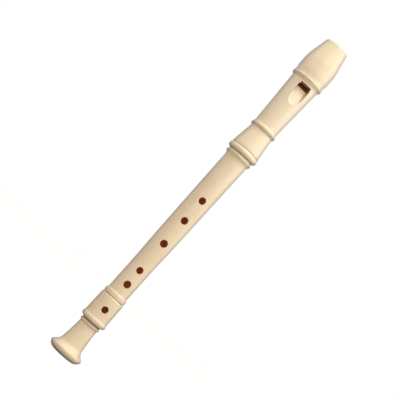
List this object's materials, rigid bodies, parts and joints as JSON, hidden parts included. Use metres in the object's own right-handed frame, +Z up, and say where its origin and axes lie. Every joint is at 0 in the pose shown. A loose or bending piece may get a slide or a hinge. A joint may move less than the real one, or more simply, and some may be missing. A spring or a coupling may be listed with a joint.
{
  "type": "soprano recorder",
  "caption": "Three-joint duct flute with a beaked head joint, block, window and ramp, a tapered fingered tube and a belled foot joint.",
  "frame": {"origin": "centre of the flat end of the bell, where the instrument stands upright", "axes": "+Z up the bore to the beak; the window and finger holes face -Y; +X to the right seen from the front"},
  "size_m": [0.0298, 0.0298, 0.3245],
  "materials": {
    "head_plastic": "satin ivory moulding with a faint warm cloud",
    "block_plastic": "satin ivory moulding, slightly duller",
    "middle_plastic": "satin ivory moulding with a faint warm cloud",
    "foot_plastic": "satin ivory moulding with a faint warm cloud"
  },
  "bodies": {
    "middle": {"middle_joint": "middle_plastic"},
    "head": {"head_joint": "head_plastic", "block": "block_plastic"},
    "foot": {"foot_joint": "foot_plastic"}
  },
  "joints": [
    {"name": "head_pull", "type": "slide", "parent": "middle", "child": "head", "axis": [0, 0, 1], "range_m": [0, 0.0225]},
    {"name": "foot_turn", "type": "hinge", "parent": "middle", "child": "foot", "pos_m": [0, 0, 0.0593], "axis": [0, 0, 1], "continuous": true}
  ]
}
